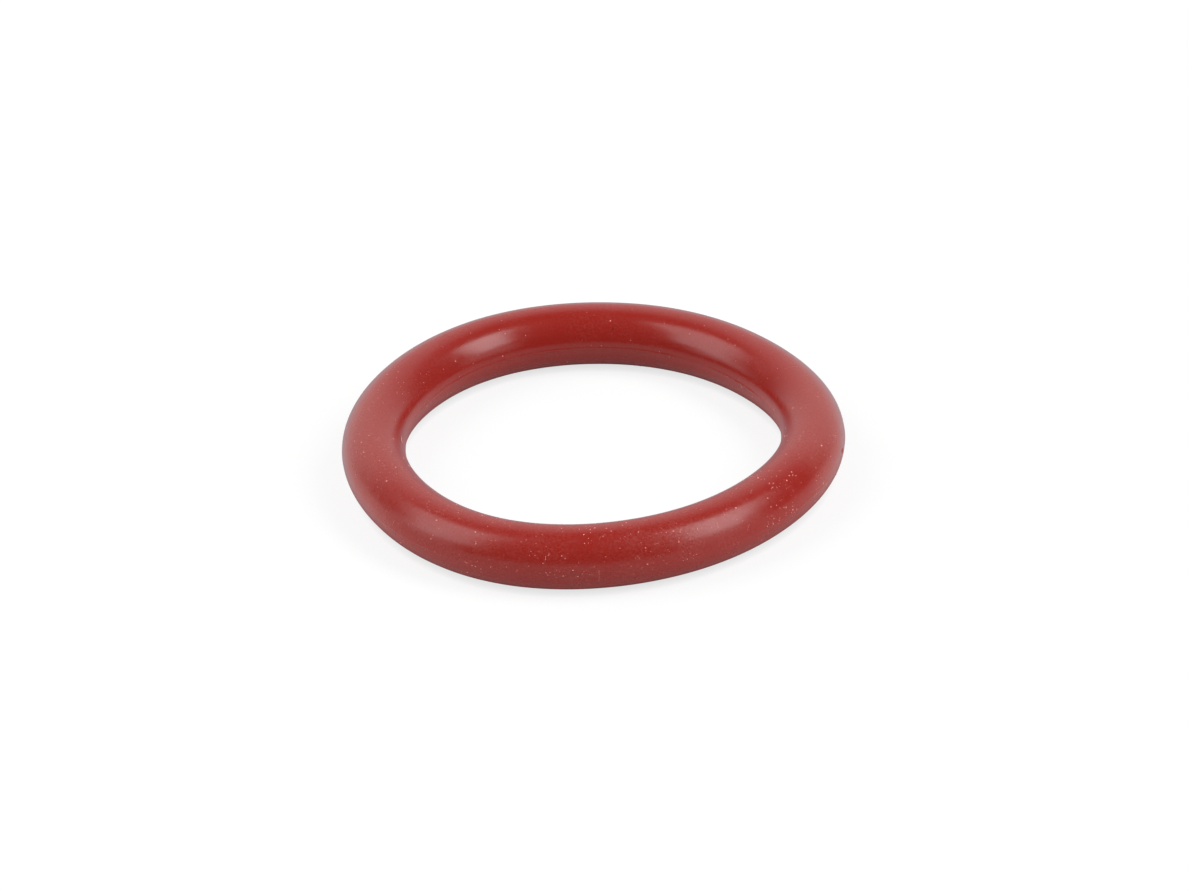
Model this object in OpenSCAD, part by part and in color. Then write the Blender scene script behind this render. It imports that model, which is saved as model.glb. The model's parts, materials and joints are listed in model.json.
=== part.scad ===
// Silicone o-ring: one moulded piece, a round cord closed into a ring.
// The origin is the ring's centre, in the parting plane of its mould, and +Z is the ring's axis.
// The ring lies flat, as it rests on a bench.

/* [Ring] */
// Inside diameter, from cord to cord across the hole
inside_d = 31.5; // [20:0.1:60]
// Diameter of the round cord
cord_d = 5.3; // [3.5:0.05:9]

/* [Mould line] */
// How far the trimmed flash stands proud of the cord, in the hole and round the outside
flash_h = 0.04; // [0.02:0.01:0.1]
// Width of the land where the flash was trimmed off
flash_land = 0.12; // [0.06:0.02:0.2]
// Width of the flash at its foot, where it grows out of the cord
flash_foot = 0.28; // [0.22:0.02:0.5]

/* [Hidden] */
cord_r = cord_d / 2;
ring_r = inside_d / 2 + cord_r;
silicone_red = "#b4463f";
$fn = 180;

// The flash on one side of the cord's section. Each slope runs from the land down to the foot,
// on the cord's circle, and as far again inside the cord, so that the two shapes are one.
module flash() {
    land = [cord_r + flash_h, flash_land / 2];
    foot = [sqrt(pow(cord_r, 2) - pow(flash_foot / 2, 2)), flash_foot / 2];
    root = 2 * foot - land;
    polygon([land, root, [root.x, -root.y], [land.x, -land.y]]);
}

// The cord's section about its own centre, with flash in the hole and round the outside
module cord_section() {
    circle(cord_r);
    for (side = [0, 180]) rotate(side) flash();
}

module o_ring() {
    color(silicone_red) rotate_extrude() translate([ring_r, 0]) cord_section();
}

o_ring();
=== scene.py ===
import json
import math

import bpy
from mathutils import Matrix, Vector


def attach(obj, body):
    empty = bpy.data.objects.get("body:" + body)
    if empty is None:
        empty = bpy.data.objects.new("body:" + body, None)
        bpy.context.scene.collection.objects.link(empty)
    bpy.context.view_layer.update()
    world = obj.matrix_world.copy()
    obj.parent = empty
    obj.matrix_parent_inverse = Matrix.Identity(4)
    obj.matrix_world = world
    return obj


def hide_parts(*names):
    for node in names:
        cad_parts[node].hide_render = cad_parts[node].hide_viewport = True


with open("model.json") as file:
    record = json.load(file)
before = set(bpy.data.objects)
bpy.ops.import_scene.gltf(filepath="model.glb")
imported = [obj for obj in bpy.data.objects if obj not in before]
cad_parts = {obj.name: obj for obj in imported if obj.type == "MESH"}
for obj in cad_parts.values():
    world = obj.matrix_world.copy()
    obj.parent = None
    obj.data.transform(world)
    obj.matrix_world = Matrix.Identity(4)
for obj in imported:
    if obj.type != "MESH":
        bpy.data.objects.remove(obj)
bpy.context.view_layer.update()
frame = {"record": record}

MM = 0.001

# The ring's form. Silicone rubber is pressed and cured in a two-part mould as a round cord that
# closes on itself. A fine flash is left where the halves met, in the hole and round the outside,
# and is trimmed. An elastic ring is never put down quite round, so this one lies a little lobed.
LANDS = {mount["name"]: mount["dims"]["r_mm"] * MM for mount in frame["record"]["mounts"]}
FLASH_HEIGHT = 0.04 * MM
FLASH_LAND = 0.12 * MM
FLASH_FOOT = 0.28 * MM
RING_RADIUS = (LANDS["outside_land"] + LANDS["inside_land"]) / 2
CORD_RADIUS = (LANDS["outside_land"] - LANDS["inside_land"]) / 2 - FLASH_HEIGHT
# Each row is a number of lobes, how far they stand out, and the bearing that one of them points to
LAY = ((2, 0.155 * MM, 87), (3, 0.23 * MM, 0), (4, 0.09 * MM, -9), (6, 0.05 * MM, 0))


def add(tree, kind, inputs, **settings):
    """Adds a node. An input is named by its socket's name or place, and is a value or what feeds it."""
    node = tree.nodes.new(kind)
    for name, value in settings.items():
        setattr(node, name, value)
    for place, value in inputs.items():
        if isinstance(value, bpy.types.Node):
            value = value.outputs[0]
        if isinstance(value, bpy.types.NodeSocket):
            tree.links.new(value, node.inputs[place])
        else:
            node.inputs[place].default_value = value
    return node


def sizes_in(tree, sizes):
    """Gives a node tree its named inputs, and returns the node that brings them in."""
    for name, kind in sizes.items():
        tree.interface.new_socket(name, in_out="INPUT", socket_type="NodeSocket" + kind)
    tree.interface.new_socket("Geometry", in_out="OUTPUT", socket_type="NodeSocketGeometry")
    return tree.nodes.new("NodeGroupInput").outputs


def grow(name, mesh, tree, sizes):
    """Runs a node tree on a mesh with these sizes, and keeps the result as a plain mesh."""
    piece = bpy.data.objects.new(name, mesh)
    bpy.context.scene.collection.objects.link(piece)
    modifier = piece.modifiers.new(name, "NODES")
    modifier.node_group = tree
    for item in tree.interface.items_tree:
        if item.in_out == "INPUT" and item.name in sizes:
            modifier[item.identifier] = sizes[item.name]
    depsgraph = bpy.context.evaluated_depsgraph_get()
    grown = bpy.data.meshes.new_from_object(piece.evaluated_get(depsgraph), depsgraph=depsgraph)
    piece.modifiers.remove(modifier)
    piece.data = grown
    return piece


def on_cord(bearing, height):
    """The place on the cord's skin at a bearing round the ring and an angle up its section, and
    the directions along the cord, up the section and out of the skin there. Angles in degrees."""
    t = math.radians(bearing)
    p = math.radians(height)
    radius = RING_RADIUS + sum(s * math.cos(n * (t - math.radians(turn))) for n, s, turn in LAY)
    outwards = Vector((math.cos(t), math.sin(t), 0))
    normal = outwards * math.cos(p) + Vector((0, 0, math.sin(p)))
    upwards = outwards * -math.sin(p) + Vector((0, 0, math.cos(p)))
    along = Vector((-math.sin(t), math.cos(t), 0))
    return outwards * radius + normal * CORD_RADIUS, along, upwards, normal


# Small hurts in the skin. Each is at a bearing and a height in degrees, so wide and so deep.
DENTS = {
    "moulding pit": (82.0, 143.0, 0.11 * MM, 0.07 * MM),
    "nick in the flash": (-10.0, 5.0, 0.17 * MM, 0.26 * MM),
}
# How many times in a metre the trimming of the flash goes from close to ragged, and the skin swells
TRIM_WAVES = 260.0
SKIN_WAVES = 170.0
# The share of its height that the flash keeps where it is trimmed closest, and all round the outside
KEPT_WHERE_CLOSE = 0.3
KEPT_OUTSIDE = 0.55


def cord_tree():
    """The round cord swept along its lobed circle, with the flash raised at the parting plane."""
    tree = bpy.data.node_groups.new("moulded cord", "GeometryNodeTree")
    lobes = {f"Stand of {count} lobes": "Float" for count, _, _ in LAY}
    lobes.update({f"Turn of {count} lobes": "Float" for count, _, _ in LAY})
    size = sizes_in(tree, {
        "Geometry": "Geometry", "Ring radius": "Float", "Cord radius": "Float",
        "Steps round the ring": "Int", "Steps round the cord": "Int", "Crowding at the flash": "Float",
        "Flash height": "Float", "Flash land": "Float", "Flash foot": "Float",
        "Swell": "Float", "Material": "Material", **lobes,
        **{f"Place of the {name}": "Vector" for name in DENTS},
        **{f"Width of the {name}": "Float" for name in DENTS},
        **{f"Depth of the {name}": "Float" for name in DENTS}})

    circle = add(tree, "GeometryNodeCurvePrimitiveCircle",
                 {"Resolution": size["Steps round the ring"], "Radius": size["Ring radius"]})
    place = add(tree, "GeometryNodeInputPosition", {})
    xyz = add(tree, "ShaderNodeSeparateXYZ", {0: place})
    bearing = add(tree, "ShaderNodeMath", {0: xyz.outputs["Y"], 1: xyz.outputs["X"]},
                  operation="ARCTAN2")
    stand = 0.0
    for count, _, _ in LAY:
        turned = add(tree, "ShaderNodeMath", {0: bearing, 1: size[f"Turn of {count} lobes"]},
                     operation="SUBTRACT")
        angle = add(tree, "ShaderNodeMath", {0: turned, 1: count}, operation="MULTIPLY")
        wave = add(tree, "ShaderNodeMath", {0: angle}, operation="COSINE")
        stand = add(tree, "ShaderNodeMath", {0: wave, 1: size[f"Stand of {count} lobes"], 2: stand},
                    operation="MULTIPLY_ADD")
    outwards = add(tree, "ShaderNodeVectorMath", {0: place}, operation="NORMALIZE")
    lay = add(tree, "ShaderNodeVectorMath", {0: outwards, "Scale": stand}, operation="SCALE")
    laid = add(tree, "GeometryNodeSetPosition", {"Geometry": circle, "Offset": lay})
    upright = add(tree, "GeometryNodeSetCurveNormal", {"Curve": laid}, mode="Z_UP")

    section = add(tree, "GeometryNodeCurvePrimitiveCircle",
                  {"Resolution": size["Steps round the cord"], "Radius": size["Cord radius"]})
    doubled = add(tree, "ShaderNodeMath", {0: bearing, 1: 2.0}, operation="MULTIPLY")
    pull = add(tree, "ShaderNodeMath", {0: doubled}, operation="SINE")
    crowded = add(tree, "ShaderNodeMath", {0: pull, 1: size["Crowding at the flash"]},
                  operation="MULTIPLY")
    turn = add(tree, "ShaderNodeMath", {0: bearing, 1: crowded}, operation="SUBTRACT")
    across = add(tree, "ShaderNodeMath", {0: turn}, operation="COSINE")
    along = add(tree, "ShaderNodeMath", {0: turn}, operation="SINE")
    unit = add(tree, "ShaderNodeCombineXYZ", {"X": across, "Y": along})
    spot = add(tree, "ShaderNodeVectorMath", {0: unit, "Scale": size["Cord radius"]},
               operation="SCALE")
    crowd = add(tree, "GeometryNodeSetPosition", {"Geometry": section, "Position": spot})
    cord = add(tree, "GeometryNodeCurveToMesh", {"Curve": upright, "Profile Curve": crowd})

    height = add(tree, "ShaderNodeMath", {0: xyz.outputs["Z"]}, operation="ABSOLUTE")
    half_foot = add(tree, "ShaderNodeMath", {0: size["Flash foot"], 1: 0.5}, operation="MULTIPLY")
    half_land = add(tree, "ShaderNodeMath", {0: size["Flash land"], 1: 0.5}, operation="MULTIPLY")
    ridge = add(tree, "ShaderNodeMapRange",
                {"Value": height, "From Min": half_foot, "From Max": half_land,
                 "To Min": 0.0, "To Max": size["Flash height"]})
    trimmed = add(tree, "ShaderNodeTexNoise",
                  {"Vector": place, "Scale": TRIM_WAVES, "Detail": 2.0})
    uneven = add(tree, "ShaderNodeMapRange", {
        "Value": trimmed, "From Min": 0.3, "From Max": 0.7, "To Min": KEPT_WHERE_CLOSE, "To Max": 1.0})
    reach = add(tree, "ShaderNodeVectorMath", {0: place}, operation="LENGTH")
    inside = add(tree, "ShaderNodeMath", {0: size["Ring radius"], 1: size["Cord radius"]},
                 operation="SUBTRACT")
    outside = add(tree, "ShaderNodeMath", {0: size["Ring radius"], 1: size["Cord radius"]},
                  operation="ADD")
    cleaner = add(tree, "ShaderNodeMapRange", {
        "Value": reach.outputs["Value"], "From Min": inside, "From Max": outside,
        "To Min": 1.0, "To Max": KEPT_OUTSIDE})
    trimmed_off = add(tree, "ShaderNodeMath", {0: uneven.outputs[0], 1: cleaner.outputs[0]},
                      operation="MULTIPLY")
    flash = add(tree, "ShaderNodeMath", {0: ridge.outputs[0], 1: trimmed_off}, operation="MULTIPLY")
    waves = add(tree, "ShaderNodeTexNoise", {"Vector": place, "Scale": SKIN_WAVES, "Detail": 1.0})
    centred = add(tree, "ShaderNodeMath", {0: waves, 1: 0.5}, operation="SUBTRACT")
    raised = add(tree, "ShaderNodeMath", {0: centred, 1: size["Swell"], 2: flash},
                 operation="MULTIPLY_ADD")
    for name in DENTS:
        away = add(tree, "ShaderNodeVectorMath", {0: place, 1: size[f"Place of the {name}"]},
                   operation="DISTANCE")
        widths = add(tree, "ShaderNodeMath",
                     {0: away.outputs["Value"], 1: size[f"Width of the {name}"]}, operation="DIVIDE")
        square = add(tree, "ShaderNodeMath", {0: widths, 1: 2.0}, operation="POWER")
        minus = add(tree, "ShaderNodeMath", {0: square, 1: -1.0}, operation="MULTIPLY")
        hollow = add(tree, "ShaderNodeMath", {0: minus}, operation="EXPONENT")
        deep = add(tree, "ShaderNodeMath", {0: hollow, 1: size[f"Depth of the {name}"]},
                   operation="MULTIPLY")
        raised = add(tree, "ShaderNodeMath", {0: raised, 1: deep}, operation="SUBTRACT")
    normal = add(tree, "GeometryNodeInputNormal", {})
    lift = add(tree, "ShaderNodeVectorMath", {0: normal, "Scale": raised}, operation="SCALE")
    flashed = add(tree, "GeometryNodeSetPosition", {"Geometry": cord, "Offset": lift})
    smooth = add(tree, "GeometryNodeSetShadeSmooth", {"Geometry": flashed})
    real = add(tree, "GeometryNodeRealizeInstances", {"Geometry": smooth})
    finished = add(tree, "GeometryNodeSetMaterial", {"Geometry": real, "Material": size["Material"]})
    add(tree, "NodeGroupOutput", {"Geometry": finished})
    return tree


def linear(hex_colour):
    """A hex colour, as it shows on a screen, as the linear colour that Blender takes."""
    screen = [int(hex_colour[place:place + 2], 16) / 255 for place in (1, 3, 5)]
    return [c / 12.92 if c <= 0.04045 else ((c + 0.055) / 1.055) ** 2.4 for c in screen] + [1.0]


# Silicone rubber, coloured through with iron oxide and moulded against fine matt steel, gives a
# deep red with a soft, bounded highlight. It is a little tacky and holds a thin, patchy film of
# pale dust, which greys the red and dulls the highlight. Where the skin is seen edge on, a grey-purple
# veil is mixed into the colour: partly dust seen edge on, partly a painted sheen of the grazing rim,
# weaker where the skin faces down. Motes sit in the film as faint specks, and the pit and the nick
# are darkened with painted shade.
SILICONE_RED = "#992119"
DUST_GREY = "#DDB6AB"
MOTE_PINK = "#FF958C"
# The veil's grey stands for dust seen edge on and paints the sheen of the grazing rim; the dark colour
# after it paints shade in the pit and the nick.
EDGE_DUST_AND_PAINTED_SHEEN_GREY = "#957379"
PIT_PAINTED_SHADE = "#3A2228"
# How much of the colour the film hides where it is thinnest and thickest, and how much is left of
# it at the back of the ring, and how much more of its pale colour is painted at its two ends as sheen
FILM_LEAST = 0.01
FILM_MOST = 0.10
FILM_AT_BACK = 0.5
PAINTED_SHEEN_AT_ENDS = 0.04
# How much of the colour a mote hides, and how much the veil, partly a painted edge-on sheen, hides
# under the ring, in the hole and round the outside
MOTE_STRENGTH = 0.4
EDGE_SHEEN_UNDERNEATH = 0.1
EDGE_SHEEN_INSIDE = 0.45
EDGE_SHEEN_OUTSIDE = 0.85
# Roughness of the clean skin at the front and at the back, what smears add to it, and the
# roughness where dust lies and where the skin is seen edge on
CLEAN_FRONT = 0.20
CLEAN_BACK = 0.15
SMEARED_MORE = 0.16
DUSTY = 0.38
EDGE_ON = 0.52
SILICONE_IOR = 1.41
# Sizes of the smears, of the moulded grain, and of the patches and the motes in the film
SMEAR = 0.9 * MM
GRAIN = 0.17 * MM
GRAIN_DEPTH = 0.010 * MM
PATCH = 3.5 * MM
MOTE_SPACING = 0.42 * MM
MOTE_WIDTH = 0.07 * MM
# The bearing and height of a spot at the right bend where a fingertip has rubbed the film away
RUBBED_SPOT = (-37.0, 40.0)
RUBBED_REACH = 5.5 * MM


def silicone():
    """The skin's colour and roughness: rubber, film, motes, veil of dust and painted sheen, painted pit
    shade.
    """
    material = bpy.data.materials.new("dusty silicone rubber")
    material.use_nodes = True
    tree = material.node_tree
    tree.nodes.clear()
    where = add(tree, "ShaderNodeTexCoord", {}).outputs
    place = where["Object"]
    grain = add(tree, "ShaderNodeTexNoise", {"Vector": place, "Scale": 1 / GRAIN, "Detail": 2.0})
    patch = add(tree, "ShaderNodeTexNoise", {"Vector": place, "Scale": 1 / PATCH, "Detail": 3.0})
    thick = add(tree, "ShaderNodeMapRange", {"Value": patch, "From Min": 0.3, "From Max": 0.75,
                                             "To Min": FILM_LEAST, "To Max": FILM_MOST})
    broken = add(tree, "ShaderNodeMapRange", {"Value": grain, "From Min": 0.42, "From Max": 0.75,
                                              "To Min": 0.0, "To Max": 1.0})
    xyz = add(tree, "ShaderNodeSeparateXYZ", {0: place})
    thinner = add(tree, "ShaderNodeMapRange", {
        "Value": xyz.outputs["Y"], "From Min": -RING_RADIUS, "From Max": RING_RADIUS,
        "To Min": 1.0, "To Max": FILM_AT_BACK})
    patchy = add(tree, "ShaderNodeMath", {0: thick.outputs[0], 1: broken.outputs[0]},
                 operation="MULTIPLY")
    # Painted sheen: the film's pale colour is added towards the ring's two ends, left and right of the
    # camera.
    off_middle = add(tree, "ShaderNodeMath", {0: xyz.outputs["X"]}, operation="ABSOLUTE")
    ends = add(tree, "ShaderNodeMapRange", {
        "Value": off_middle, "From Min": 0.88 * RING_RADIUS, "From Max": RING_RADIUS,
        "To Min": 0.0, "To Max": PAINTED_SHEEN_AT_ENDS})
    film_and_end_sheen = add(tree, "ShaderNodeMath", {0: patchy, 1: thinner.outputs[0], 2: ends.outputs[0]},
                   operation="MULTIPLY_ADD")
    from_spot = add(tree, "ShaderNodeVectorMath", {0: place, 1: on_cord(*RUBBED_SPOT)[0]},
                    operation="DISTANCE")
    rubbed = add(tree, "ShaderNodeMapRange", {
        "Value": from_spot.outputs["Value"], "From Min": 0.3 * RUBBED_REACH, "From Max": RUBBED_REACH,
        "To Min": 0.05, "To Max": 1.0}, interpolation_type="SMOOTHSTEP")
    film = add(tree, "ShaderNodeMath", {0: film_and_end_sheen, 1: rubbed.outputs[0]}, operation="MULTIPLY")
    motes = add(tree, "ShaderNodeTexVoronoi", {"Vector": place, "Scale": 1 / MOTE_SPACING})
    mote = add(tree, "ShaderNodeMapRange", {
        "Value": motes.outputs["Distance"], "From Min": 0.5 * MOTE_WIDTH / MOTE_SPACING,
        "From Max": MOTE_WIDTH / MOTE_SPACING, "To Min": MOTE_STRENGTH, "To Max": 0.0})
    cell = add(tree, "ShaderNodeSeparateColor", {0: motes.outputs["Color"]})
    few = add(tree, "ShaderNodeMapRange", {
        "Value": xyz.outputs["Y"], "From Min": -0.9 * RING_RADIUS, "From Max": 0.0,
        "To Min": 0.72, "To Max": 0.93})
    chosen = add(tree, "ShaderNodeMath", {0: cell.outputs[0], 1: few}, operation="GREATER_THAN")
    shown = add(tree, "ShaderNodeMath", {0: mote.outputs[0], 1: chosen}, operation="MULTIPLY")
    dust = add(tree, "ShaderNodeMath", {0: film, 1: shown}, operation="ADD", use_clamp=True)
    filmed = add(tree, "ShaderNodeMix", {
        0: film, 6: linear(SILICONE_RED), 7: linear(DUST_GREY)}, data_type="RGBA")
    colour = add(tree, "ShaderNodeMix", {
        0: shown, 6: filmed.outputs[2], 7: linear(MOTE_PINK)}, data_type="RGBA")
    handled = add(tree, "ShaderNodeMapRange", {
        "Value": xyz.outputs["Y"], "From Min": -RING_RADIUS, "From Max": RING_RADIUS,
        "To Min": CLEAN_FRONT, "To Max": CLEAN_BACK})
    smears = add(tree, "ShaderNodeTexNoise", {"Vector": place, "Scale": 1 / SMEAR, "Detail": 2.0})
    smeared = add(tree, "ShaderNodeMath",
                  {0: smears.outputs[0], 1: SMEARED_MORE, 2: handled.outputs[0]},
                  operation="MULTIPLY_ADD")
    dull = add(tree, "ShaderNodeMapRange", {"Value": dust, "From Min": 0.0, "From Max": 0.3,
                                            "To Min": smeared, "To Max": DUSTY})
    edge_on = add(tree, "ShaderNodeLayerWeight", {"Blend": 0.5}).outputs["Facing"]
    fades = add(tree, "ShaderNodeMapRange", {"Value": edge_on, "From Min": 0.60, "From Max": 0.85,
                                             "To Min": 0.0, "To Max": 1.0})
    rough = add(tree, "ShaderNodeMix", {0: fades.outputs[0], 2: dull.outputs[0], 3: EDGE_ON},
                data_type="FLOAT")
    faces = add(tree, "ShaderNodeSeparateXYZ", {0: where["Normal"]})
    reach = add(tree, "ShaderNodeVectorMath", {0: place}, operation="LENGTH")
    outer = add(tree, "ShaderNodeMapRange", {
        "Value": reach.outputs["Value"], "From Min": RING_RADIUS - CORD_RADIUS,
        "From Max": RING_RADIUS + CORD_RADIUS, "To Min": EDGE_SHEEN_INSIDE, "To Max": EDGE_SHEEN_OUTSIDE})
    # The veil: grey-purple mixed into the colour where the skin is seen edge on, partly edge-on dust
    # and partly a painted sheen of the grazing rim, less where the skin faces down.
    edge_sheen_amount = add(tree, "ShaderNodeMapRange", {
        "Value": faces.outputs["Z"], "From Min": -0.4, "From Max": 0.12,
        "To Min": EDGE_SHEEN_UNDERNEATH, "To Max": outer.outputs[0]})
    edge_dust_and_painted_sheen = add(tree, "ShaderNodeMapRange", {
        "Value": edge_on, "From Min": 0.60, "From Max": 0.88, "To Min": 0.0,
        "To Max": edge_sheen_amount.outputs[0]}, interpolation_type="SMOOTHSTEP")
    shown_colour = add(tree, "ShaderNodeMix", {
        0: edge_dust_and_painted_sheen.outputs[0], 6: colour.outputs[2], 7: linear(EDGE_DUST_AND_PAINTED_SHEEN_GREY)}, data_type="RGBA").outputs[2]
    # Painted shade: the colour is darkened towards a dark grey-purple in and round the pit and the
    # nick.
    for bearing, height, width, _ in DENTS.values():
        away = add(tree, "ShaderNodeVectorMath", {0: place, 1: on_cord(bearing, height)[0]},
                   operation="DISTANCE")
        painted_pit_shade = add(tree, "ShaderNodeMapRange", {
            "Value": away.outputs["Value"], "From Min": 0.4 * width, "From Max": 1.2 * width,
            "To Min": 0.8, "To Max": 0.0})
        shown_colour = add(tree, "ShaderNodeMix", {
            0: painted_pit_shade.outputs[0], 6: shown_colour, 7: linear(PIT_PAINTED_SHADE)}, data_type="RGBA").outputs[2]
    texture = add(tree, "ShaderNodeBump", {"Height": grain.outputs[0], "Strength": 0.5,
                                           "Distance": GRAIN_DEPTH})
    skin = add(tree, "ShaderNodeBsdfPrincipled", {
        "Base Color": shown_colour, "Roughness": rough.outputs[0], "IOR": SILICONE_IOR,
        "Normal": texture})
    add(tree, "ShaderNodeOutputMaterial", {"Surface": skin})
    return material


sizes = {
    "Ring radius": RING_RADIUS, "Cord radius": CORD_RADIUS, "Steps round the ring": 840,
    "Steps round the cord": 104, "Crowding at the flash": 0.42, "Flash height": FLASH_HEIGHT,
    "Flash land": FLASH_LAND, "Flash foot": FLASH_FOOT, "Swell": 0.02 * MM, "Material": silicone()}
for count, stand, turn in LAY:
    sizes[f"Stand of {count} lobes"] = stand
    sizes[f"Turn of {count} lobes"] = math.radians(turn)
for name, (bearing, height, width, depth) in DENTS.items():
    sizes[f"Place of the {name}"] = on_cord(bearing, height)[0]
    sizes[f"Width of the {name}"] = width
    sizes[f"Depth of the {name}"] = depth
ring = grow("silicone_ring", bpy.data.meshes.new("start"), cord_tree(), sizes)
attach(ring, "root")
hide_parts("o_ring")

# Loose dust: pale grains of house dust and talc, thickest on the upper front right, with more
# caught along the flash. Each is a small flattened lump that clings to the tacky rubber.
DUST_SEED = 11
DUST_PER_MM2 = 1.1
GRAIN_RADIUS = 0.065 * MM
# The bearing and height of the thickest drift of dust, at the top of the right bend
DRIFT_SPOT = (-37.5, 60.0)
DRIFT_REACH = 3.2 * MM
# How thick the dust lies there and in a clump, and how much is added along the flash, where 1 is
# usual, and how many times in a metre it clumps
THICK_IN_DRIFT = 6.0
THICK_IN_CLUMP = 3.4
ADDED_AT_FLASH = 1.4
CLUMP_WAVES = 260.0
# A grain's three sizes, and its bulk, as shares of the usual grain
FLATTEST = (0.7, 0.7, 0.35)
FULLEST = (1.5, 1.0, 0.6)
LEAST_BULK = 0.48
MOST_BULK = 1.35
# The grains that stand out: bearing, height and how many times the usual size
SEEN_GRAINS = {
    "brightest, above the right highlight": (-53.5, 59.0, 1.3),
    "at the right bend": (-32.5, 53.0, 1.1),
    "above it": (-34.0, 60.5, 1.0),
    "above the left highlight": (-118.5, 57.5, 1.1),
    "in the left highlight": (-117.5, 38.0, 0.9),
    "under the hooked fibre": (-101.5, 18.5, 1.0),
    "low at the front": (-95.0, 6.5, 1.0),
    "low at the right": (-78.5, 5.0, 1.1),
    "low at the far left": (-139.5, -21.0, 1.3),
    "in the hole": (12.0, 170.0, 0.9),
}


def dust_tree():
    """Grains scattered on the ring's skin, more of them where the skin faces up and to the front."""
    tree = bpy.data.node_groups.new("settled dust", "GeometryNodeTree")
    size = sizes_in(tree, {
        "Geometry": "Geometry", "Grains per square metre": "Float", "Grain radius": "Float",
        "Flash foot": "Float", "Middle of the drift": "Vector", "Reach of the drift": "Float",
        "Seed": "Int", "Grains in the photo": "Object", "Material": "Material"})
    place = add(tree, "GeometryNodeInputPosition", {})
    xyz = add(tree, "ShaderNodeSeparateXYZ", {0: place})
    facing = add(tree, "ShaderNodeSeparateXYZ", {0: add(tree, "GeometryNodeInputNormal", {})})
    settled = add(tree, "ShaderNodeMapRange", {
        "Value": facing.outputs["Z"], "From Min": -0.4, "From Max": 0.5, "To Min": 0.12, "To Max": 0.8})
    front = add(tree, "ShaderNodeMapRange", {
        "Value": xyz.outputs["Y"], "From Min": -RING_RADIUS, "From Max": RING_RADIUS,
        "To Min": 1.0, "To Max": 0.03})
    drift = add(tree, "ShaderNodeTexNoise", {"Vector": place, "Scale": CLUMP_WAVES, "Detail": 3.0})
    clumps = add(tree, "ShaderNodeMapRange", {
        "Value": drift, "From Min": 0.45, "From Max": 0.64, "To Min": 0.06,
        "To Max": THICK_IN_CLUMP})
    level = add(tree, "ShaderNodeMath", {0: xyz.outputs["Z"]}, operation="ABSOLUTE")
    caught = add(tree, "ShaderNodeMath", {0: level, 1: size["Flash foot"]}, operation="LESS_THAN")
    near = add(tree, "ShaderNodeMath", {0: caught, 1: ADDED_AT_FLASH, 2: settled.outputs[0]},
               operation="MULTIPLY_ADD")
    much = add(tree, "ShaderNodeMath", {0: near, 1: front.outputs[0]}, operation="MULTIPLY")
    from_drift = add(tree, "ShaderNodeVectorMath", {0: place, 1: size["Middle of the drift"]},
                     operation="DISTANCE")
    drifted = add(tree, "ShaderNodeMapRange", {
        "Value": from_drift.outputs["Value"], "From Min": 0.0, "From Max": size["Reach of the drift"],
        "To Min": THICK_IN_DRIFT, "To Max": clumps.outputs[0]}, interpolation_type="SMOOTHSTEP")
    density = add(tree, "ShaderNodeMath", {0: much, 1: drifted.outputs[0]}, operation="MULTIPLY")
    thickness = add(tree, "ShaderNodeMath", {0: density, 1: size["Grains per square metre"]},
                    operation="MULTIPLY")
    spots = add(tree, "GeometryNodeDistributePointsOnFaces",
                {"Mesh": size["Geometry"], "Density": thickness, "Seed": size["Seed"]})
    lump = add(tree, "GeometryNodeMeshIcoSphere", {"Radius": size["Grain radius"], "Subdivisions": 1})
    seen = add(tree, "GeometryNodeMeshToPoints", {
        "Mesh": add(tree, "GeometryNodeObjectInfo", {
            "Object": size["Grains in the photo"]}).outputs["Geometry"]})
    bigger = add(tree, "GeometryNodeInputNamedAttribute", {"Name": "times"}, data_type="FLOAT")
    stand = add(tree, "ShaderNodeCombineXYZ", {"X": 1.2, "Y": 0.8, "Z": 0.6})
    large = add(tree, "ShaderNodeVectorMath", {0: stand, "Scale": bigger.outputs[0]},
                operation="SCALE")
    placed = add(tree, "GeometryNodeInstanceOnPoints", {
        "Points": seen, "Instance": lump.outputs[0], "Scale": large})
    chance = add(tree, "FunctionNodeRandomValue", {"Min": 0.0, "Max": 1.0, "Seed": size["Seed"]},
                 data_type="FLOAT")
    rare = add(tree, "ShaderNodeMath", {0: chance.outputs[1], 1: 5.0}, operation="POWER")
    bulk = add(tree, "ShaderNodeMapRange", {
        "Value": rare, "From Min": 0.0, "From Max": 1.0, "To Min": LEAST_BULK, "To Max": MOST_BULK})
    stretch = add(tree, "FunctionNodeRandomValue",
                  {"Min": FLATTEST, "Max": FULLEST, "Seed": 5},
                  data_type="FLOAT_VECTOR")
    shape = add(tree, "ShaderNodeVectorMath", {0: stretch.outputs[0], "Scale": bulk.outputs[0]},
                operation="SCALE")
    grains = add(tree, "GeometryNodeInstanceOnPoints", {
        "Points": spots.outputs["Points"], "Instance": lump.outputs[0],
        "Rotation": spots.outputs["Rotation"], "Scale": shape})
    spin = add(tree, "FunctionNodeRandomValue", {"Min": (0, 0, 0), "Max": (0, 0, 6.28), "Seed": 9},
               data_type="FLOAT_VECTOR")
    turned = add(tree, "GeometryNodeRotateInstances", {
        "Instances": grains, "Rotation": spin.outputs[0], "Local Space": True})
    both = add(tree, "GeometryNodeJoinGeometry", {})
    tree.links.new(turned.outputs[0], both.inputs[0])
    tree.links.new(placed.outputs[0], both.inputs[0])
    real = add(tree, "GeometryNodeRealizeInstances", {"Geometry": both})
    finished = add(tree, "GeometryNodeSetMaterial", {"Geometry": real, "Material": size["Material"]})
    add(tree, "NodeGroupOutput", {"Geometry": finished})
    return tree


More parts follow.
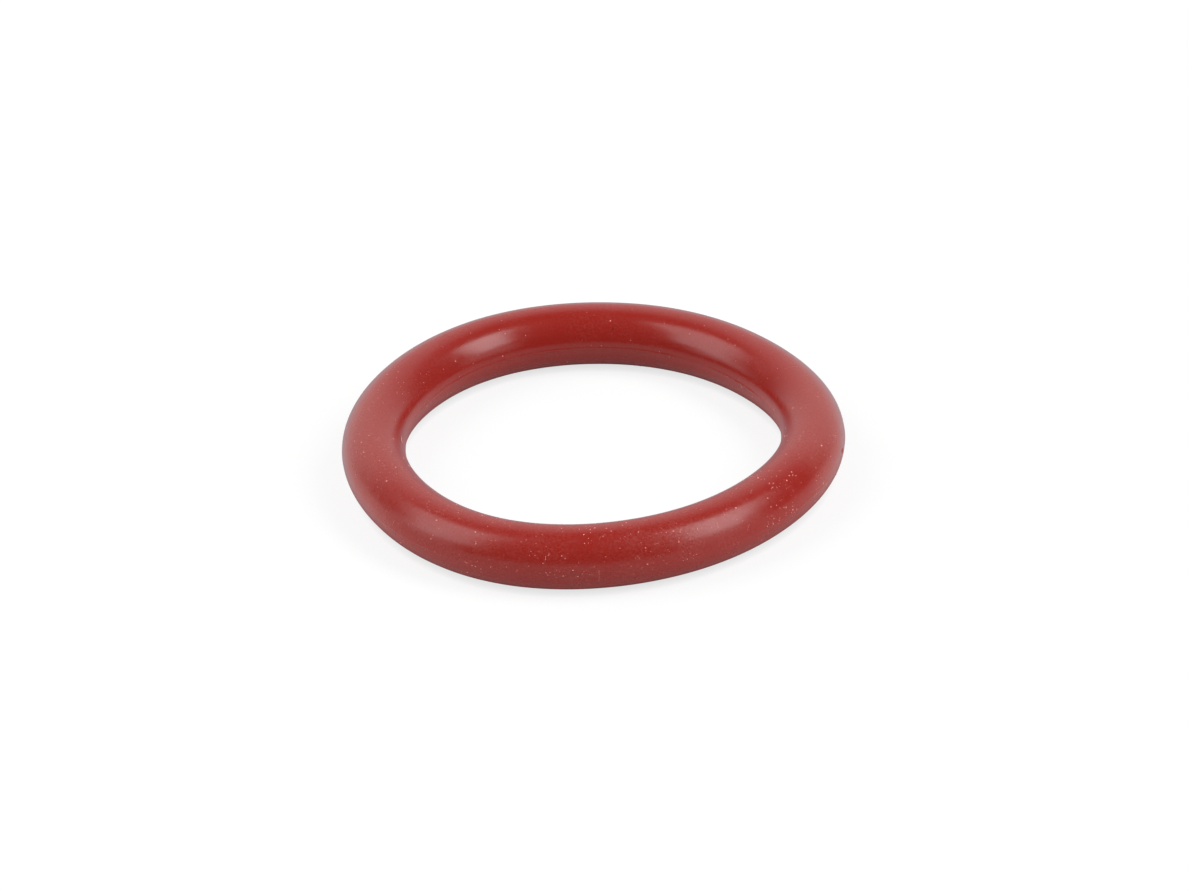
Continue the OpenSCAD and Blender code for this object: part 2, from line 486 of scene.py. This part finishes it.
# House dust and fibres are matt. They are slightly see-through, so they take up the red of the
# rubber that they lie on, some of them more than others.
DUST_PINK = "#FFB6AC"
DUST_RED = "#F4897D"
LINT_PINK = "#F8B4AB"
TINT_SPACING = 0.3 * MM


def dust_material(name, hex_colour):
    """A matt dust or fibre that varies between this colour and a redder one."""
    material = bpy.data.materials.new(name)
    material.use_nodes = True
    tree = material.node_tree
    tree.nodes.clear()
    place = add(tree, "ShaderNodeTexCoord", {}).outputs["Object"]
    shade = add(tree, "ShaderNodeTexNoise", {"Vector": place, "Scale": 1 / TINT_SPACING})
    faint = add(tree, "ShaderNodeMapRange", {"Value": shade, "From Min": 0.35, "From Max": 0.65})
    tint = add(tree, "ShaderNodeMix", {
        0: faint.outputs[0], 6: linear(DUST_RED), 7: linear(hex_colour)}, data_type="RGBA")
    matt = add(tree, "ShaderNodeBsdfPrincipled", {
        "Base Color": tint.outputs[2], "Roughness": 0.9, "IOR": 1.45})
    add(tree, "ShaderNodeOutputMaterial", {"Surface": matt})
    return material


marks = bpy.data.meshes.new("grains in the photo")
marks.from_pydata([on_cord(bearing, height)[0] for bearing, height, _ in SEEN_GRAINS.values()], [], [])
marks.attributes.new("times", "FLOAT", "POINT").data.foreach_set(
    "value", [times for _, _, times in SEEN_GRAINS.values()])
seen_grains = bpy.data.objects.new("grains in the photo", marks)
bpy.context.scene.collection.objects.link(seen_grains)
dust = grow("settled_dust", ring.data.copy(), dust_tree(), {
    "Grains per square metre": DUST_PER_MM2 / MM ** 2, "Grain radius": GRAIN_RADIUS,
    "Flash foot": FLASH_FOOT, "Middle of the drift": on_cord(*DRIFT_SPOT)[0],
    "Reach of the drift": DRIFT_REACH, "Seed": DUST_SEED, "Grains in the photo": seen_grains,
    "Material": dust_material("house dust", DUST_PINK)})
bpy.data.objects.remove(seen_grains)
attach(dust, "root")

# Lint: single fibres of cotton and paper that the rubber has picked up. Each has a bearing and a
# height, runs along the cord and up it by two lengths in millimetres, and is bent sideways by a
# bow. The last value is how many times thicker it is than the finest.
LINT = {
    "streak in the hole": (-178.0, 152.0, 1.10, 0.04, 0.02, 3.0),
    "curved hair": (-141.3, 11.5, 0.04, 0.72, -0.12, 1.3),
    "hook": (-101.1, 27.5, 0.03, 0.36, 0.04, 1.8),
    "end of the hook": (-100.4, 35.0, 0.02, 0.22, 0.02, 1.0),
    "short stub": (-80.4, 20.0, -0.22, 0.33, 0.03, 1.2),
    "dash by the highlight": (-75.8, 38.0, 0.34, 0.02, 0.04, 1.2),
    "upright on the flash": (-89.4, -7.0, 0.03, 1.05, 0.03, 1.0),
    "bright dash": (-41.0, 60.0, 0.26, 0.04, 0.02, 2.5),
    "upper dash": (-33.0, 57.0, 0.22, 0.10, 0.05, 1.5),
    "slanting thread": (-46.5, 74.0, 0.35, 0.25, 0.08, 1.3),
    "thread under the highlight": (-52.5, 20.0, 0.20, 0.28, 0.05, 1.2),
}
LINT_WIDTH = 0.02 * MM


def lint_tree():
    """A fine round tube along every bent edge."""
    tree = bpy.data.node_groups.new("lint", "GeometryNodeTree")
    size = sizes_in(tree, {"Geometry": "Geometry", "Width": "Float", "Material": "Material"})
    line = add(tree, "GeometryNodeMeshToCurve", {"Mesh": size["Geometry"]})
    radius = add(tree, "ShaderNodeMath", {0: size["Width"], 1: 0.5}, operation="MULTIPLY")
    section = add(tree, "GeometryNodeCurvePrimitiveCircle", {"Resolution": 6, "Radius": radius})
    thicker = add(tree, "GeometryNodeInputNamedAttribute", {"Name": "times"}, data_type="FLOAT")
    tube = add(tree, "GeometryNodeCurveToMesh", {
        "Curve": line, "Profile Curve": section, "Scale": thicker.outputs[0], "Fill Caps": True})
    real = add(tree, "GeometryNodeRealizeInstances", {"Geometry": tube})
    finished = add(tree, "GeometryNodeSetMaterial", {"Geometry": real, "Material": size["Material"]})
    add(tree, "NodeGroupOutput", {"Geometry": finished})
    return tree


# How high a fibre's middle line lies on the skin, in its own thicknesses, and how much its ends
# lift, in the finest fibre's
LINT_HEIGHT = 0.45
LINT_LIFT = 0.8
LINT_STEPS = 10
points = []
edges = []
thicknesses = []
for bearing, height, length, rise_mm, bow, times in LINT.values():
    middle, along, upwards, normal = on_cord(bearing, height)
    for step in range(LINT_STEPS + 1):
        f = step / LINT_STEPS - 0.5
        sideways = bow * (1 - 4 * f * f)
        run = (length * f + (sideways if abs(rise_mm) > abs(length) else 0)) * MM
        climb = (rise_mm * f + (sideways if abs(rise_mm) <= abs(length) else 0)) * MM
        turn = run / RING_RADIUS
        tilt = climb / CORD_RADIUS
        spot, _, _, outward = on_cord(bearing + math.degrees(turn), height + math.degrees(tilt))
        if step:
            edges.append((len(points) - 1, len(points)))
        points.append(spot + outward * LINT_WIDTH * (LINT_HEIGHT * times + LINT_LIFT * abs(f)))
        thicknesses.append(times)
lines = bpy.data.meshes.new("lint lines")
lines.from_pydata(points, edges, [])
lines.attributes.new("times", "FLOAT", "POINT").data.foreach_set("value", thicknesses)
lint = grow("lint", lines, lint_tree(), {
    "Width": LINT_WIDTH, "Material": dust_material("cotton and paper fibre", LINT_PINK)})
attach(lint, "root")

# The studio: a white sheet that the ring lies on, a soft box and a low reflector on either side of
# it, and the pale walls of a light tent.
FLOOR_SIZE = 8.0
PAPER_GREY = 0.68
SHADED_GREY = 0.15
GLOW = 0.85
# How near the ring has to be to darken the paper under it, and how bright the paper stays there,
# as the reflections in the ring show it and as the camera sees it
DARK_REACH = (3.0 * MM, 0.7 * MM)
DARK_LEAST = (0.0, 0.72)


def floor_material():
    """White paper. What the camera and reflections see of it is lit evenly, as on a light table, and
    keeps the ring's shadow and the darkness close under it."""
    material = bpy.data.materials.new("white paper sweep")
    material.use_nodes = True
    tree = material.node_tree
    tree.nodes.clear()
    paper = add(tree, "ShaderNodeBsdfDiffuse", {"Color": (PAPER_GREY, PAPER_GREY, PAPER_GREY, 1.0)})
    shaded = add(tree, "ShaderNodeBsdfDiffuse",
                 {"Color": (SHADED_GREY, SHADED_GREY, SHADED_GREY, 1.0)})
    path = add(tree, "ShaderNodeLightPath", {})
    reach = add(tree, "ShaderNodeMapRange", {
        "Value": path.outputs["Is Camera Ray"], "To Min": DARK_REACH[0], "To Max": DARK_REACH[1]})
    under = add(tree, "ShaderNodeAmbientOcclusion", {"Distance": reach.outputs[0]}, samples=12)
    least = add(tree, "ShaderNodeMapRange", {
        "Value": path.outputs["Is Camera Ray"], "To Min": DARK_LEAST[0], "To Max": DARK_LEAST[1]})
    even = add(tree, "ShaderNodeMapRange", {
        "Value": under.outputs["AO"], "To Min": least.outputs[0], "To Max": GLOW})
    glow = add(tree, "ShaderNodeEmission", {"Color": (1, 1, 1, 1), "Strength": even})
    seen = add(tree, "ShaderNodeAddShader", {0: shaded, 1: glow})
    direct = add(tree, "ShaderNodeMath",
                 {0: path.outputs["Is Camera Ray"], 1: path.outputs["Is Glossy Ray"]},
                 operation="MAXIMUM")
    looks = add(tree, "ShaderNodeMath", {0: direct, 1: path.outputs["Is Transmission Ray"]},
                operation="MAXIMUM")
    both = add(tree, "ShaderNodeMixShader", {0: looks, 1: paper, 2: seen})
    add(tree, "ShaderNodeOutputMaterial", {"Surface": both})
    return material


half = FLOOR_SIZE / 2
floor_mesh = bpy.data.meshes.new("floor")
floor_mesh.from_pydata([(-half, -half, -CORD_RADIUS), (half, -half, -CORD_RADIUS),
                        (half, half, -CORD_RADIUS), (-half, half, -CORD_RADIUS)], [], [(0, 1, 2, 3)])
floor_mesh.materials.append(floor_material())
floor = bpy.data.objects.new("floor", floor_mesh)
bpy.context.scene.collection.objects.link(floor)


BOX_DISTANCE = 0.8


def soft_box(name, azimuth, elevation, half_width, half_height, tilt, radiance):
    """A soft box that faces the ring from that bearing. Its half sizes are the angles that it
    fills, seen from the ring, its tilt turns it in its own plane, and white is a radiance of 1."""
    a = math.radians(azimuth)
    e = math.radians(elevation)
    towards = Vector((math.cos(a) * math.cos(e), math.sin(a) * math.cos(e), math.sin(e)))
    light = bpy.data.lights.new(name, "AREA")
    light.shape = "RECTANGLE"
    light.size = 2 * BOX_DISTANCE * math.tan(math.radians(half_width))
    light.size_y = 2 * BOX_DISTANCE * math.tan(math.radians(half_height))
    light.energy = radiance * math.pi * light.size * light.size_y
    lamp = bpy.data.objects.new(name, light)
    lamp.location = towards * BOX_DISTANCE
    aim = towards.to_track_quat("Z", "Y").to_matrix()
    lamp.rotation_euler = (aim @ Matrix.Rotation(math.radians(tilt), 3, "Z")).to_euler()
    bpy.context.scene.collection.objects.link(lamp)


soft_box("left soft box", -177, 42, 17, 26, 32, 3.5)
soft_box("right soft box", -17, 45, 11.5, 24, -36, 6.7)
soft_box("right low reflector", -30, 12, 18, 10, 0, 1.4)
soft_box("left low reflector", -174, 10, 18, 9, 0, 1.4)

# The tent is brightest at its back wall, which begins and is full at these shares of the way back.
# The top of the ring mirrors the wall's foot, so that is dimmed in the middle. A bright hem meets
# the table all round, and the roof is a little lighter than the near walls.
WALL_FROM = 0.42
WALL_TO = 0.74
WALL_LIGHT = 0.93
WALL_DIMMED = 0.34
NEAR_LIGHT = 0.12
ROOF_LIGHT = 0.18
HEM_LIGHT = 0.9

world = bpy.data.worlds.new("light tent")
world.use_nodes = True
bpy.context.scene.world = world
tree = world.node_tree
tree.nodes.clear()
direction = add(tree, "ShaderNodeTexCoord", {})
xyz = add(tree, "ShaderNodeSeparateXYZ", {0: direction.outputs["Generated"]})
back = add(tree, "ShaderNodeMapRange", {
    "Value": xyz.outputs["Y"], "From Min": WALL_FROM, "From Max": WALL_TO, "To Min": 0.0,
    "To Max": WALL_LIGHT}, interpolation_type="SMOOTHSTEP")
roof = add(tree, "ShaderNodeMapRange", {
    "Value": xyz.outputs["Z"], "From Min": 0.7, "From Max": 0.9, "To Min": NEAR_LIGHT,
    "To Max": ROOF_LIGHT}, interpolation_type="SMOOTHSTEP")
low = add(tree, "ShaderNodeMapRange", {
    "Value": xyz.outputs["Z"], "From Min": 0.0, "From Max": 0.4, "To Min": WALL_DIMMED,
    "To Max": 0.0})
sideways = add(tree, "ShaderNodeMath", {0: xyz.outputs["X"]}, operation="ABSOLUTE")
middle = add(tree, "ShaderNodeMapRange", {
    "Value": sideways, "From Min": 0.1, "From Max": 0.45, "To Min": 1.0, "To Max": 0.0})
dimmer = add(tree, "ShaderNodeMath", {0: low.outputs[0], 1: middle.outputs[0]}, operation="MULTIPLY")
kept = add(tree, "ShaderNodeMath", {0: 1.0, 1: dimmer}, operation="SUBTRACT")
walls = add(tree, "ShaderNodeMath", {0: back.outputs[0], 1: kept, 2: roof.outputs[0]},
            operation="MULTIPLY_ADD")
hem = add(tree, "ShaderNodeMapRange", {
    "Value": xyz.outputs["Z"], "From Min": 0.03, "From Max": 0.06, "To Min": HEM_LIGHT,
    "To Max": 0.0})
lit = add(tree, "ShaderNodeMath", {0: walls, 1: hem.outputs[0]}, operation="MAXIMUM")
tent = add(tree, "ShaderNodeBackground", {"Color": (1, 1, 1, 1), "Strength": lit})
add(tree, "ShaderNodeOutputWorld", {"Surface": tent})

# The photographer's place: a long lens from the front, a third of the way up from the table.
PHOTO_WIDTH = 1188
PHOTO_HEIGHT = 891
RING_IN_PHOTO = (590.57, 441.65)
ELEVATION = 30.08
ROLL = 2.39
DISTANCE = 613 * MM
LENS_MM = 222.3
SENSOR_MM = 36.0

rise = math.radians(ELEVATION)
lean = math.radians(ROLL)
back = Vector((0.0, -math.cos(rise), math.sin(rise)))
level = Vector((1.0, 0.0, 0.0))
above = back.cross(level)
right = level * math.cos(lean) - above * math.sin(lean)
up = level * math.sin(lean) + above * math.cos(lean)
pixel = DISTANCE * SENSOR_MM / LENS_MM / PHOTO_WIDTH
camera_data = bpy.data.cameras.new("camera")
camera_data.lens = LENS_MM
camera_data.sensor_width = SENSOR_MM
camera_data.clip_start = 0.05
camera = bpy.data.objects.new("camera", camera_data)
place = (back * DISTANCE + right * (PHOTO_WIDTH / 2 - RING_IN_PHOTO[0]) * pixel
         - up * (PHOTO_HEIGHT / 2 - RING_IN_PHOTO[1]) * pixel)
camera.matrix_world = Matrix.Translation(place) @ Matrix((right, up, back)).transposed().to_4x4()
bpy.context.scene.collection.objects.link(camera)
bpy.context.scene.camera = camera
bpy.context.scene.view_settings.view_transform = "Standard"
